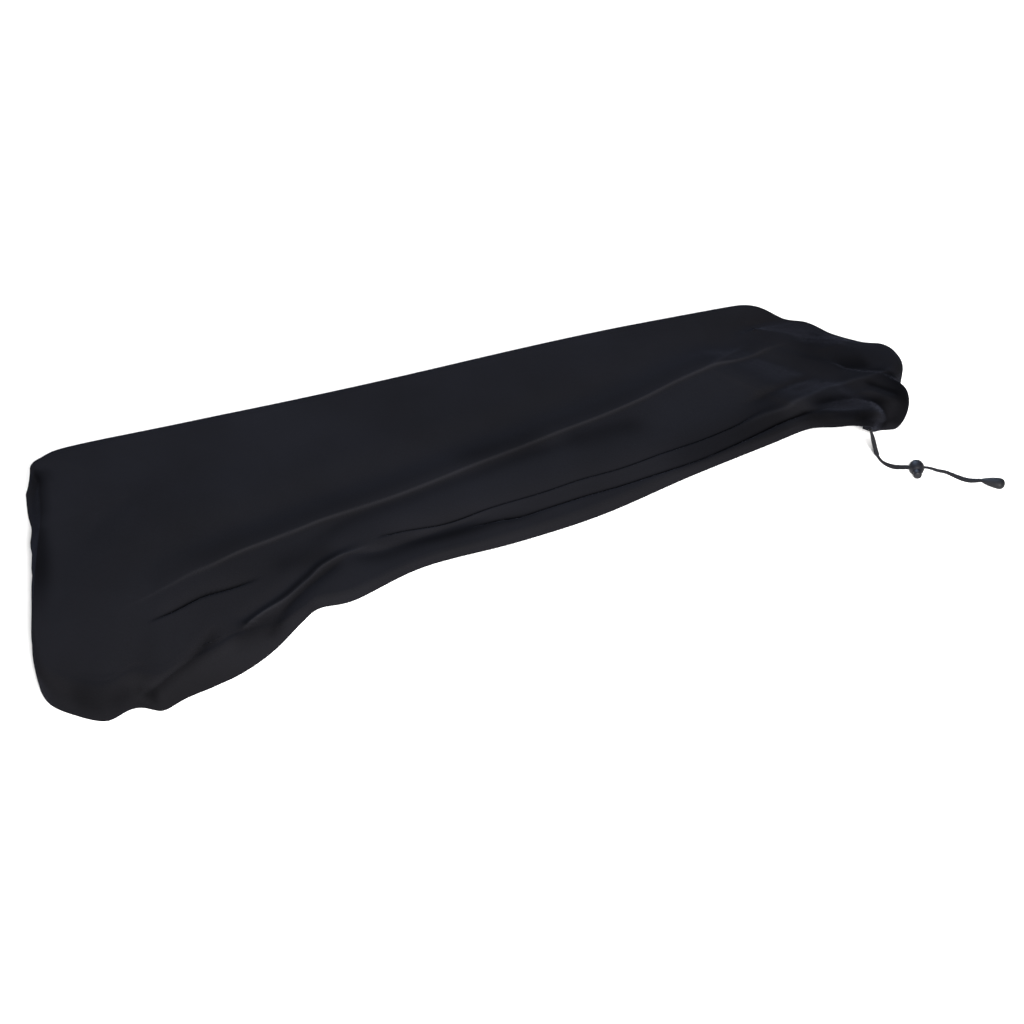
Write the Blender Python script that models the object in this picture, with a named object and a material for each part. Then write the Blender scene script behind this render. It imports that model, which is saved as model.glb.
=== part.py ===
"""Fitted fabric cover for a digital piano, with its front hem drawn back.

The sheet is a closed loop of sections. Each section starts on the spine, a line
along the middle of the top, runs out over the ridge, the pleat and the rolled
hem, and ends where the hem turns under. All tables are in millimetres.
"""

import math

import bmesh
import bpy
import numpy as np

for old in list(bpy.data.objects):
    bpy.data.objects.remove(old, do_unlink=True)

MM = 0.001

# Cloth
SHEET = 2.0
TUCK = 14.0
HEM_CORNER = 4.0
UNDER = 1.1
UNDER_FROM = 13.0
GATHER_DEPTH = 2.2
GATHER_LENGTH = 118.0

# Spine of the top: x, y, z at its right and left ends
SPINE_RIGHT = (395.0, 105.0, 10.26)
SPINE_LEFT = (-330.0, 40.0, 5.76)
SPINE_REACH = 30.0
SPINE_STEP = 5.0
SWELL = 0.4
SWELL_FROM = 20.0

# Sections on each half of the loop, and the length that one radian of bend counts for
PER_HALF = 48
BEND_WEIGHT = 45.0
HEM_ROW = 17

# Outline, counter-clockwise from the right end:
# x, y, height of the crest inside the edge, height of the hem, edge radius
EDGE = (
    (605, 60, -31, -84, 20),
    (600, 79, -32, -84, 19),
    (578, 90, -31, -84, 17),
    (545, 115, -26, -84, 16),
    (520, 141, -19, -84, 15),
    (488, 144, -8, -84, 14),
    (449, 155, 13, -84, 12),
    (400, 158, 18, -84, 12),
    (275, 158, 18, -84, 12),
    (132, 154, 18, -84, 12),
    (-28, 148, 17, -84, 12),
    (-155, 144, 17, -84, 12),
    (-275, 142, 17, -84, 12),
    (-411, 140, 16, -84, 13),
    (-450, 132, 15, -84, 16),
    (-470, 117, 12, -84, 20),
    (-474, 94, 9, -84, 22),
    (-475, 28, 0, -84, 22),
    (-484, -50, -12, -84, 24),
    (-495, -118, -21, -84, 25),
    (-501, -150, -26, -84, 25),
    (-500, -184, -31, -84, 25),
    (-482, -210, -35, -84, 25),
    (-443, -239, -36, -85, 24),
    (-406, -228, -36, -85, 17),
    (-380, -240, -36, -85, 16),
    (-349, -226, -35, -85, 14),
    (-291, -208, -34, -85, 12),
    (-249, -206, -28, -63, 12),
    (-212, -199, -19, -36, 9),
    (-190, -187, -17, -33, 9),
    (-150, -187, -16, -32, 9),
    (-64, -157, -16, -32, 9),
    (47, -149, -16, -32, 9),
    (153, -133, -15, -32, 9),
    (271, -100, -14, -31, 9),
    (380, -78, -11, -26, 9),
    (427, -74, -5, -19, 9),
    (451, -90, 3, -10, 9),
    (475, -96, 3, -9, 9),
    (517, -66, -12, -44, 14),
    (543, -40, -27, -78, 25),
    (571, -36, -31, -84, 27),
    (586, -11, -31, -84, 26),
    (578, 12, -32, -84, 15),
    (600, 38, -30, -84, 19),
)

# Front folds, one row for each outline row from FOLDS_FROM on: distance from
# the edge and depth of the groove behind the roll, of the pleat behind that,
# and distance and lift of the long ridge
FOLDS_FROM = 23
FOLDS = (
    (26, 0, 44, 0, 84, 0),
    (26, 0, 44, 0, 86, 0),
    (24, 0, 42, 0, 94, 0.6),
    (22, 0, 36, 0, 100, 1.0),
    (18, 0, 28, 0.5, 108, 1.4),
    (18, 1, 30, 2, 116, 1.6),
    (32, 5, 41, 4, 120, 2),
    (44, 6, 52, 5, 120, 2),
    (54, 6, 64, 5, 120, 2),
    (38, 6, 54, 4, 119, 2),
    (38, 6, 53, 4, 130, 2),
    (33, 6, 50, 4, 132, 2),
    (20, 5, 38, 3, 127, 2),
    (26, 5, 42, 3, 137, 2),
    (30, 6, 46, 3, 133, 1.5),
    (42, 7, 62, 2, 140, 1),
    (48, 8, 74, -1, 150, 0),
    (46, 9, 64, -2, 130, 0),
    (40, 10, 58, -2, 120, 0),
    (34, 10, 56, -2, 120, 0),
    (27, 9, 50, -2, 115, 0),
    (20, 6, 40, -2, 110, 0),
    (24, 2, 40, 0, 105, 0),
    (24, 0, 44, 0, 100, 0),
)
PLAIN = (22, 0, 40, 0, 90, 0)

# Shorter folds: depth (negative stands up), half width, points
CREASES = (
    (7.0, 12.0, ((-300, -186, -30), (-349, -230, -48), (-387, -232, -66), (-405, -226, -84))),
    (4.0, 15.0, ((458, 24, 2), (500, 37, -5), (575, 48, -24))),
    (3.5, 8.0, ((452, -58, -8), (500, -38, -22), (539, -18, -38), (572, -38, -52))),
    (3.0, 8.0, ((488, -86, -10), (530, -50, -46), (560, -45, -66))),
)

# Drawcord: diameter, and its route from the hem to the end piece
CORD = 4.0
CORD_GAP = 0.5
ROUTE = (
    (513.5, -69.0, -50.0),
    (517.0, -71.0, -67.0),
    (520.5, -72.5, -79.0),
    (523.0, -79.0, -83.6),
    (526.5, -87.5, -84.0),
    (532.0, -95.5, -82.8),
    (537.5, -103.5, -79.0),
    (543.8, -109.2, -76.5),
    (553.3, -112.5, -76.5),
    (562.8, -115.8, -76.5),
    (571.0, -116.5, -79.8),
    (579.0, -118.5, -83.4),
    (587.0, -124.0, -84.0),
    (596.0, -137.0, -84.0),
    (605.0, -148.0, -84.0),
    (617.0, -156.0, -83.0),
)

# Cord lock: body, button and the hole for the cord
LOCK = (553.3, -112.5, -76.5)
LOCK_BODY = 18.6
BUTTON = 9.5
BUTTON_OUT = 5.5
LOCK_HOLE = 6.0
LOCK_TURN = -19.1

# Cord end: a flat drop
END_LENGTH = 28.0
END_WIDTH = 15.0
END_THICK = 9.4
END_TURN = -36.0


def spline(rows, at, closed):
    """Smooth curve through the rows of a table, read at fractional row numbers."""
    rows = np.asarray(rows, float)
    count = len(rows)
    at = np.asarray(at, float)
    if not closed:
        at = np.clip(at, 0, count - 1)
    low = np.floor(at).astype(int)
    u = (at - low)[:, None]
    take = [low - 1, low, low + 1, low + 2]
    if closed:
        take = [index % count for index in take]
    else:
        take = [np.clip(index, 0, count - 1) for index in take]
    p, q, r, s = (rows[index] for index in take)
    return 0.5 * (2 * q + (r - p) * u + (2 * p - 5 * q + 4 * r - s) * u**2
                  + (3 * q - p - 3 * r + s) * u**3)


def stations():
    """Spine points, and for each section around the loop its place in the table."""
    right = np.array(SPINE_RIGHT)
    left = np.array(SPINE_LEFT)
    length = np.hypot(*(left - right)[:2])
    along = (left - right)[:2] / length
    across = np.array([along[1], -along[0]])
    at = np.arange(0, len(EDGE), 0.02)
    off = spline(EDGE, at, True)[:, :2] - right[:2]
    a = off @ along
    b = off @ across
    first = np.argmax((b > 0) & (np.roll(b, 1) <= 0) & (a < 0))
    a = np.roll(a, -first)
    b = np.roll(b, -first)
    at = np.roll(at, -first)
    at = np.where(at < at[0], at + len(EDGE), at)
    turn = np.argmin(b > 0)
    # Sections crowd where the outline bends.
    da = np.roll(a, -1) - a
    db = np.roll(b, -1) - b
    heading = np.unwrap(np.arctan2(db, da))
    bend = np.abs(np.diff(heading, append=heading[-1]))
    run = np.concatenate([[0], np.cumsum(np.hypot(da, db) + BEND_WEIGHT * bend)])
    at = np.append(at, at[0] + len(EDGE))
    a = np.append(a, a[0])
    back = np.interp(np.linspace(run[0], run[turn], PER_HALF + 1), run, at)
    front = np.interp(np.linspace(run[turn], run[-1], PER_HALF + 1), run, at)
    middle = (np.interp(back, at, a) + np.interp(front[::-1], at, a)) / 2
    near = SPINE_REACH + 10
    reach = np.interp(middle, (middle[0], near, length - near, middle[-1]),
                      (-SPINE_REACH, near, length - near, length + SPINE_REACH))
    steps = np.maximum(np.diff(reach), SPINE_STEP)
    reach = np.append(0, np.cumsum(steps)) * (reach[-1] - reach[0]) / steps.sum() - SPINE_REACH
    spine = right + np.outer(reach / length, left - right)
    return spine, np.concatenate([back, front[1:-1]])


def fold_row(at):
    """Fold distances for a section, blended out where the outline has no folds."""
    count = len(EDGE)
    row = spline(FOLDS, [(at - FOLDS_FROM) % count], False)[0]
    past = (at - FOLDS_FROM) % count
    if past > len(FOLDS) - 1:
        share = min(1.0, past - (len(FOLDS) - 1), count - past)
        first = np.array(FOLDS[0 if count - past < 1 else -1], float)
        row = first + (np.array(PLAIN) - first) * share
    return row


def gather_at(edge):
    """How far the soft gathers of the hanging walls push the hem outward here."""
    x, y, crest, rim, radius = edge
    around = math.atan2(y, x * 0.36) * 330
    wave = math.sin(around * 2 * math.pi / GATHER_LENGTH) + 0.5 * math.sin(around / 12.7 + 1.1)
    hangs = min(1.0, max(0.0, (-60 - rim) / 20))
    plain = min(1.0, max(0.0, (y + 120) / 60))
    return GATHER_DEPTH * wave * hangs * plain


def section(edge, facing, fold, spine):
    """Points of one section from the spine out to the end of the hem."""
    x, y, crest, rim, radius = edge
    roll, groove, band, pleat, ridge, lift = fold
    inward = spine[:2] - (x, y)
    depth = np.hypot(*inward)
    inward = inward / depth
    square = inward + facing
    square = square / np.hypot(*square)
    ridge = min(ridge, depth * 0.72)
    band = min(band, ridge * 0.62)
    roll = min(roll, band * 0.8)
    radius = min(radius, roll * 0.72, crest - rim - HEM_CORNER - 4)
    drop = spine[2] - crest
    swell = SWELL * max(0.0, drop - SWELL_FROM) * min(1.0, max(0.0, (250 - x) / 300))

    def top(d):
        t = (d - radius) / (depth - radius)
        return crest + drop * t + swell * 4 * t * (1 - t)

    rows = [(depth, spine[2])]
    rows += [(d, top(d) + lift * 0.25 * n) for n, d in
             enumerate(np.linspace(depth, ridge, 5)[1:4])]
    rows += [(ridge, top(ridge) + lift)]
    rows += [(d, top(d) - sag) for d, sag in
             zip(np.linspace(ridge, band, 5)[1:4], (0.0, 0.0, -0.25 * max(pleat, 0)))]
    rows += [(band, top(band) - pleat)]
    rows += [(d, top(d) + puff * groove) for d, puff in
             zip(np.linspace(band, roll, 4)[1:3], (0.05, -0.1))]
    rows += [(roll, top(roll) - groove)]
    rows += [(roll * 0.35 + radius * 0.65, top(radius) - 0.12 * groove)]
    for angle in (90, 58, 28, 0):
        turn = math.radians(angle)
        rows += [(radius * (1 - math.cos(turn)), crest - radius * (1 - math.sin(turn)))]
    waist = crest - radius
    foot = rim + HEM_CORNER
    under = UNDER * max(0.0, radius - UNDER_FROM)
    gather = gather_at(edge)
    rows += [(under * 0.15 - gather * 0.5, foot + (waist - foot) * 0.5)]
    under -= gather
    rows += [(under * 0.75 - gather * 0.25, foot)]
    rows += [(under + HEM_CORNER * 0.3, rim + HEM_CORNER * 0.3), (under + HEM_CORNER, rim)]
    rows += [(under + TUCK, rim + 1.0)]
    points = []
    for row, (d, z) in enumerate(rows):
        # The hem stands squarer to the outline than the section above it.
        way = inward if row < HEM_ROW else square
        points.append((x + way[0] * d, y + way[1] * d, z))
    return points


def from_line(points, line):
    """Distance from each point to a polyline, and how far along it lies (0 to 1)."""
    line = np.asarray(line, float)
    steps = np.linalg.norm(line[1:] - line[:-1], axis=1)
    total = steps.sum()
    best = np.full(len(points), 1e9)
    share = np.zeros(len(points))
    done = 0.0
    for a, b, step in zip(line[:-1], line[1:], steps):
        t = np.clip((points - a) @ (b - a) / step**2, 0, 1)
        gap = np.linalg.norm(points - a - t[:, None] * (b - a), axis=1)
        nearer = gap < best
        best = np.where(nearer, gap, best)
        share = np.where(nearer, (done + t * step) / total, share)
        done += step
    return best, share


def grid_faces(spine_count, rings, rows):
    """Quads of one side of the sheet. The spine points are shared by both halves."""
    def point(ring, row):
        ring = ring % rings
        if row == 0:
            return min(ring, rings - ring)
        return spine_count + ring * (rows - 1) + row - 1

    faces = []
    for ring in range(rings):
        for row in range(rows - 1):
            faces.append([point(ring, row), point(ring, row + 1),
                          point(ring + 1, row + 1), point(ring + 1, row)])
    hem = [point(ring, rows - 1) for ring in range(rings)]
    return faces, hem


def normals_of(points, faces, smoothing=0):
    """Direction out of the sheet at each point, evened with its neighbours."""
    total = np.zeros_like(points)
    for a, b, c, d in faces:
        normal = np.cross(points[c] - points[a], points[d] - points[b])
        for corner in (a, b, c, d):
            total[corner] += normal
    total /= np.linalg.norm(total, axis=1)[:, None]
    for _ in range(smoothing):
        spread = total.copy()
        for a, b, c, d in faces:
            middle = (total[a] + total[b] + total[c] + total[d]) * 0.25
            for corner in (a, b, c, d):
                spread[corner] += middle
        total = spread / np.linalg.norm(spread, axis=1)[:, None]
    return total


def halved(points, faces):
    """Each quad as two triangles along its shorter diagonal, alike on both sides of the sheet."""
    made = []
    for a, b, c, d in faces:
        if np.linalg.norm(points[a] - points[c]) < np.linalg.norm(points[b] - points[d]):
            made += [[a, b, c], [a, c, d]]
        else:
            made += [[a, b, d], [b, c, d]]
    return made


def cover_mesh():
    spine, places = stations()
    edges = spline(EDGE, places, True)
    rings = len(places)
    along = np.roll(edges, -1, axis=0)[:, :2] - np.roll(edges, 1, axis=0)[:, :2]
    along /= np.linalg.norm(along, axis=1)[:, None]
    facing = np.stack([-along[:, 1], along[:, 0]], axis=1)
    sections = []
    for ring, place in enumerate(places):
        middle = spine[min(ring, rings - ring)]
        sections.append(section(edges[ring], facing[ring], fold_row(place), middle))
    rows = len(sections[0])
    points = [tuple(p) for p in spine]
    for one in sections:
        points += one[1:]
    points = np.array(points)
    faces, hem = grid_faces(len(spine), rings, rows)
    normals = normals_of(points, faces)

    push = np.zeros(len(points))
    for depth, width, line in CREASES:
        gap, share = from_line(points, line)
        fade = np.clip(np.minimum(share, 1 - share) * 5, 0.15, 1)
        push -= depth * fade * np.exp(-(gap / width) ** 2)
    points = points + normals * push[:, None]
    points[:, 2] = np.maximum(points[:, 2], -85.2)

    inner = points - normals_of(points, faces, 1) * SHEET
    count = len(points)
    faces = halved(points, faces)
    faces = faces + [[n + count for n in reversed(face)] for face in faces]
    for ring in range(rings):
        a = hem[ring]
        b = hem[(ring + 1) % rings]
        faces.append([b, a, a + count, b + count])
    return np.concatenate([points, inner]), faces


def material(name, colour, roughness, metallic=0.0):
    made = bpy.data.materials.new(name)
    made.use_nodes = True
    shader = made.node_tree.nodes["Principled BSDF"]
    shader.inputs["Base Color"].default_value = (*colour, 1)
    shader.inputs["Roughness"].default_value = roughness
    shader.inputs["Metallic"].default_value = metallic
    return made


def placed(name, mesh, paint):
    made = bpy.data.objects.new(name, mesh)
    bpy.context.scene.collection.objects.link(made)
    mesh.materials.append(paint)
    return made


def mesh_from(name, points, faces, smooth=True):
    mesh = bpy.data.meshes.new(name)
    mesh.from_pydata([tuple(p * MM) for p in np.asarray(points)], [], faces)
    work = bmesh.new()
    work.from_mesh(mesh)
    bmesh.ops.recalc_face_normals(work, faces=work.faces)
    for face in work.faces:
        face.smooth = smooth
    work.to_mesh(mesh)
    work.free()
    return mesh


def lathe(profile, steps):
    """Points and faces of a closed body turned about the z axis, with a pole at each end."""
    points = [(0.0, 0.0, profile[0][1])]
    for r, z in profile[1:-1]:
        for n in range(steps):
            turn = 2 * math.pi * n / steps
            points.append((r * math.cos(turn), r * math.sin(turn), z))
    points.append((0.0, 0.0, profile[-1][1]))
    faces = []
    last = len(points) - 1
    for n in range(steps):
        after = (n + 1) % steps
        faces.append([0, 1 + after, 1 + n])
        for ring in range(len(profile) - 3):
            low = 1 + ring * steps
            high = low + steps
            faces.append([low + n, low + after, high + after, high + n])
        end = 1 + (len(profile) - 3) * steps
        faces.append([end + n, end + after, last])
    return np.array(points), faces


def turned(points, degrees_z, centre):
    """Points turned about the vertical and moved to a centre."""
    turn = math.radians(degrees_z)
    c, s = math.cos(turn), math.sin(turn)
    spin = np.array([[c, -s, 0], [s, c, 0], [0, 0, 1]])
    return points @ spin.T + np.array(centre)


def cord_points(spacing):
    """Points at even spacing along the smooth cord route."""
    dense = spline(ROUTE, np.linspace(0, len(ROUTE) - 1, 600), False)
    steps = np.linalg.norm(np.diff(dense, axis=0), axis=1)
    run = np.concatenate([[0], np.cumsum(steps)])
    even = np.linspace(0, run[-1], int(run[-1] / spacing) + 1)
    return np.stack([np.interp(even, run, dense[:, axis]) for axis in range(3)], axis=1)


def drawcord(paint):
    curve = bpy.data.curves.new("drawcord", "CURVE")
    curve.dimensions = "3D"
    curve.bevel_depth = CORD / 2 * MM
    curve.bevel_resolution = 2
    curve.use_fill_caps = True
    route = cord_points(CORD * 2)
    line = curve.splines.new("POLY")
    line.points.add(len(route) - 1)
    for point, where in zip(line.points, route):
        point.co = (*(where * MM), 1)
    made = bpy.data.objects.new("drawcord", curve)
    bpy.context.scene.collection.objects.link(made)
    curve.materials.append(paint)
    return made


def cord_lock(paint):
    """A round body with a button on its near side and a hole for the cord."""
    ball = LOCK_BODY / 2
    knob = BUTTON / 2
    meet = math.sqrt(ball**2 - knob**2)
    profile = [(0.0, -ball)]
    for angle in (-68, -48, -28, -8, 12, 32, 48):
        turn = math.radians(angle)
        profile.append((ball * math.cos(turn), ball * math.sin(turn)))
    out = ball + BUTTON_OUT
    profile += [(knob, meet), (knob, out - 1.6), (knob * 0.72, out - 0.4), (0.0, out)]
    points, faces = lathe(profile, 24)
    # The lathe axis is laid level and points to the near side.
    level = np.stack([points[:, 0], -points[:, 2], points[:, 1]], axis=1)
    mesh = mesh_from("cord_lock", turned(level, LOCK_TURN, LOCK), faces)
    made = placed("cord_lock", mesh, paint)

    bore = [(0.0, -20.0), (LOCK_HOLE / 2, -20.0), (LOCK_HOLE / 2, 20.0), (0.0, 20.0)]
    points, faces = lathe(bore, 20)
    across = np.stack([points[:, 2], points[:, 1], -points[:, 0]], axis=1)
    mesh = mesh_from("lock_bore", turned(across, LOCK_TURN, LOCK), faces)
    cutter = placed("lock_bore", mesh, paint)
    cutter.hide_render = True
    cutter.display_type = "WIRE"
    cut = made.modifiers.new("bore", "BOOLEAN")
    cut.object = cutter
    cut.operation = "DIFFERENCE"
    cut.solver = "EXACT"
    return made


def cord_end(paint):
    """A flat drop that starts just past the end of the cord."""
    half = END_WIDTH / 2
    profile = [(0.0, 0.0), (2.6, 0.0), (2.9, 2.0), (3.4, 7.0), (4.6, 12.0), (5.9, 17.0),
               (half, 21.0), (6.0, 24.5), (3.8, 27.0), (0.0, END_LENGTH)]
    points, faces = lathe(profile, 24)
    points[:, 1] *= END_THICK / END_WIDTH
    level = np.stack([points[:, 2], points[:, 0], -points[:, 1]], axis=1)
    tip = cord_points(CORD)[-1]
    turn = math.radians(END_TURN)
    start = tip + CORD_GAP * np.array([math.cos(turn), math.sin(turn), 0])
    start[2] = -86 + END_THICK / 2 + 0.2
    mesh = mesh_from("cord_end", turned(level, END_TURN, start), faces)
    return placed("cord_end", mesh, paint)


points, faces = cover_mesh()
cloth = material("stretch_cloth", (0.012, 0.013, 0.019), 0.85)
placed("cover_cloth", mesh_from("cover_cloth", points, faces), cloth)
drawcord(material("cord_braid", (0.014, 0.015, 0.022), 0.75))
cord_lock(material("lock_plastic", (0.02, 0.022, 0.032), 0.45))
cord_end(material("end_plastic", (0.016, 0.017, 0.024), 0.5))
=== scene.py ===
import math

import bmesh
import bpy
import numpy as np
from mathutils import Matrix, Vector
from mathutils.bvhtree import BVHTree


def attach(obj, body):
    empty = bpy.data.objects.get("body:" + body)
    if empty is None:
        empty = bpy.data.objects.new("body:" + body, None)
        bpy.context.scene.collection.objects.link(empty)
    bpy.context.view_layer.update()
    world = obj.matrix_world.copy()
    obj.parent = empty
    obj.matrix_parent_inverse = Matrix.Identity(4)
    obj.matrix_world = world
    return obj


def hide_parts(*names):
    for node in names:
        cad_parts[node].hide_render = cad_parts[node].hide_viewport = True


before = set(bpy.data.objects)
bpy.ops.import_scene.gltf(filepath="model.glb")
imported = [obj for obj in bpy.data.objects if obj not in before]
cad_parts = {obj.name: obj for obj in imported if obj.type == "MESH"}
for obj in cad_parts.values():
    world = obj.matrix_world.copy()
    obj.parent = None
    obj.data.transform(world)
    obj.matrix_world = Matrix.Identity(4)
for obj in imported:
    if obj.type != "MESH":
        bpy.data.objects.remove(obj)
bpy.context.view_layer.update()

mm = 0.001
floorHeight = -0.0862
print("frame loaded:", ", ".join(sorted(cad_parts)))


# solved on the picture: place in metres, angles in degrees, lens and sensor in millimetres
cameraSet = {
    "place": (-0.5223, -2.1909, 1.7159), "heading": -15.436, "down": 38.755, "roll": -2.096,
    "lens": 85.8, "sensor": 36.0, "pixels": 1024,
}


def cameraAxes(s):
    heading, down, roll = (math.radians(s[name]) for name in ("heading", "down", "roll"))
    forward = Vector((-math.sin(heading) * math.cos(down), math.cos(heading) * math.cos(down),
                      -math.sin(down)))
    level = Vector((math.cos(heading), math.sin(heading), 0))
    upward = level.cross(forward)
    right = level * math.cos(roll) + upward * math.sin(roll)
    return right, upward * math.cos(roll) - level * math.sin(roll), forward


def addCamera(s):
    right, upward, forward = cameraAxes(s)
    eye = bpy.data.cameras.new("camera")
    eye.lens = s["lens"]
    eye.sensor_width = s["sensor"]
    holder = bpy.data.objects.new("camera", eye)
    turn = Matrix((right, upward, -forward)).transposed().to_4x4()
    holder.matrix_world = Matrix.Translation(s["place"]) @ turn
    bpy.context.scene.collection.objects.link(holder)
    bpy.context.scene.camera = holder


addCamera(cameraSet)
print("camera set")


def curveThrough(rows, at, closed=False):
    # a smooth curve through a list of rows, read between its rows too
    rows = np.asarray(rows, float)
    at = np.asarray(at, float)
    count = len(rows)
    if not closed:
        at = np.clip(at, 0, count - 1)
    low = np.floor(at).astype(int)
    u = (at - low)[:, None]
    take = [low + step for step in (-1, 0, 1, 2)]
    take = [n % count for n in take] if closed else [np.clip(n, 0, count - 1) for n in take]
    p, q, r, s = (rows[n] for n in take)
    return 0.5 * (2 * q + (r - p) * u + (2 * p - 5 * q + 4 * r - s) * u**2
                  + (3 * q - p - 3 * r + s) * u**3)


def runAlong(points):
    # the length walked at each point
    return np.concatenate([[0], np.cumsum(np.linalg.norm(np.diff(points, axis=0), axis=1))])


def evenPoints(rows, spacing):
    # points at even steps along the smooth curve through the rows
    dense = curveThrough(rows, np.linspace(0, len(rows) - 1, 800))
    run = runAlong(dense)
    even = np.linspace(0, run[-1], max(2, int(round(run[-1] / spacing)) + 1))
    return np.stack([np.interp(even, run, dense[:, axis]) for axis in range(3)], axis=1)


def addPiece(name, mesh, material, body="root"):
    piece = bpy.data.objects.new(name, mesh)
    bpy.context.scene.collection.objects.link(piece)
    mesh.materials.append(material)
    for face in mesh.polygons:
        face.use_smooth = True
    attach(piece, body)
    return piece


def gridSheet(columns, rows):
    # a flat grid, with each point's column and row share from 0 to 1
    sheet = bmesh.new()
    bmesh.ops.create_grid(sheet, x_segments=columns, y_segments=rows, size=0.5)
    sheet.verts.ensure_lookup_table()
    flat = np.array([point.co[:2] for point in sheet.verts]) + 0.5
    return sheet, flat


def newGroup(name, inputs, outputs):
    group = bpy.data.node_groups.new(name, "ShaderNodeTree")
    for label, kind, value in inputs:
        socket = group.interface.new_socket(label, in_out="INPUT", socket_type=kind)
        if value is not None:
            socket.default_value = value
    for label, kind in outputs:
        group.interface.new_socket(label, in_out="OUTPUT", socket_type=kind)
    start = group.nodes.new("NodeGroupInput")
    end = group.nodes.new("NodeGroupOutput")
    return group, start, end


def mathNode(tree, operation, first, second=None, clamp=False):
    node = tree.nodes.new("ShaderNodeMath")
    node.operation = operation
    node.use_clamp = clamp
    for socket, value in zip(node.inputs, (first, second)):
        if value is None:
            continue
        if isinstance(value, (int, float)):
            socket.default_value = value
        else:
            tree.links.new(value, socket)
    return node.outputs[0]


def buildKnitLoops():
    # rows of small interlocked loops: wales run along V, courses along U
    group, start, end = newGroup(
        "knitLoops",
        [("Vector", "NodeSocketVector", None), ("Wale", "NodeSocketFloat", 0.0008),
         ("Course", "NodeSocketFloat", 0.0006)],
        [("Height", "NodeSocketFloat"), ("Gap", "NodeSocketFloat")])
    links = group.links
    split = group.nodes.new("ShaderNodeSeparateXYZ")
    links.new(start.outputs["Vector"], split.inputs[0])
    wale = mathNode(group, "DIVIDE", split.outputs[0], start.outputs["Wale"])
    share = mathNode(group, "PINGPONG", wale, 0.5)
    leg = mathNode(group, "MULTIPLY", share, 2.0)
    course = mathNode(group, "DIVIDE", split.outputs[1], start.outputs["Course"])
    slant = mathNode(group, "ADD", course, mathNode(group, "MULTIPLY", leg, 0.55))
    loop = mathNode(group, "SINE", mathNode(group, "MULTIPLY", slant, 2 * math.pi))
    crown = mathNode(group, "SINE", mathNode(group, "MULTIPLY", leg, math.pi))
    height = mathNode(group, "ADD", mathNode(group, "MULTIPLY", loop, 0.35),
                      mathNode(group, "MULTIPLY", crown, 0.65))
    links.new(height, end.inputs["Height"])
    gap = mathNode(group, "SUBTRACT", 1.0, crown, clamp=True)
    links.new(gap, end.inputs["Gap"])
    return group


def buildSoftWear():
    # broad, uneven patches and fine lint, as masks
    group, start, end = newGroup(
        "softWear",
        [("Vector", "NodeSocketVector", None), ("Patch", "NodeSocketFloat", 7.0),
         ("Fine", "NodeSocketFloat", 900.0)],
        [("Patches", "NodeSocketFloat"), ("Lint", "NodeSocketFloat")])
    links = group.links
    broad = group.nodes.new("ShaderNodeTexNoise")
    broad.inputs["Detail"].default_value = 3.0
    links.new(start.outputs["Vector"], broad.inputs["Vector"])
    links.new(start.outputs["Patch"], broad.inputs["Scale"])
    links.new(broad.outputs[0], end.inputs["Patches"])
    fine = group.nodes.new("ShaderNodeTexNoise")
    fine.inputs["Detail"].default_value = 4.0
    links.new(start.outputs["Vector"], fine.inputs["Vector"])
    links.new(start.outputs["Fine"], fine.inputs["Scale"])
    links.new(fine.outputs[0], end.inputs["Lint"])
    return group


knitLoops = buildKnitLoops()
softWear = buildSoftWear()


def startMaterial(name, slotColour, roughness):
    material = bpy.data.materials.new(name)
    material.use_nodes = True
    material.diffuse_color = (*slotColour, 1)
    shader = material.node_tree.nodes["Principled BSDF"]
    shader.inputs["Roughness"].default_value = roughness
    return material, material.node_tree, shader


def addGroup(tree, group, **values):
    node = tree.nodes.new("ShaderNodeGroup")
    node.node_tree = group
    for label, value in values.items():
        node.inputs[label].default_value = value
    return node


def rampBetween(tree, mask, low, high, first=0.3, last=0.7):
    ramp = tree.nodes.new("ShaderNodeValToRGB")
    ramp.color_ramp.elements[0].position = first
    ramp.color_ramp.elements[1].position = last
    ramp.color_ramp.elements[0].color = (*low, 1)
    ramp.color_ramp.elements[1].color = (*high, 1)
    tree.links.new(mask, ramp.inputs[0])
    return ramp.outputs[0]


def bumpFrom(tree, height, distance, strength, after=None):
    bump = tree.nodes.new("ShaderNodeBump")
    bump.inputs["Distance"].default_value = distance
    bump.inputs["Strength"].default_value = strength
    tree.links.new(height, bump.inputs["Height"])
    if after is not None:
        tree.links.new(after, bump.inputs["Normal"])
    return bump.outputs[0]


clothFinish = {
    "dark": (0.0050, 0.0049, 0.0056), "light": (0.0065, 0.0065, 0.0078),
    "roughness": 0.85, "specular": 0.0, "sheen": 0.015, "sheenRoughness": 0.3,
    "sheenTint": (0.72, 0.76, 1.0),
    "wale": 0.0009, "course": 0.0007, "knitDepth": 0.00012, "knitStrength": 0.5,
    "gapPaintedShade": (0.55, 0.55, 0.6), "gapPaintedShadeShare": 0.35,
}


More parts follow.
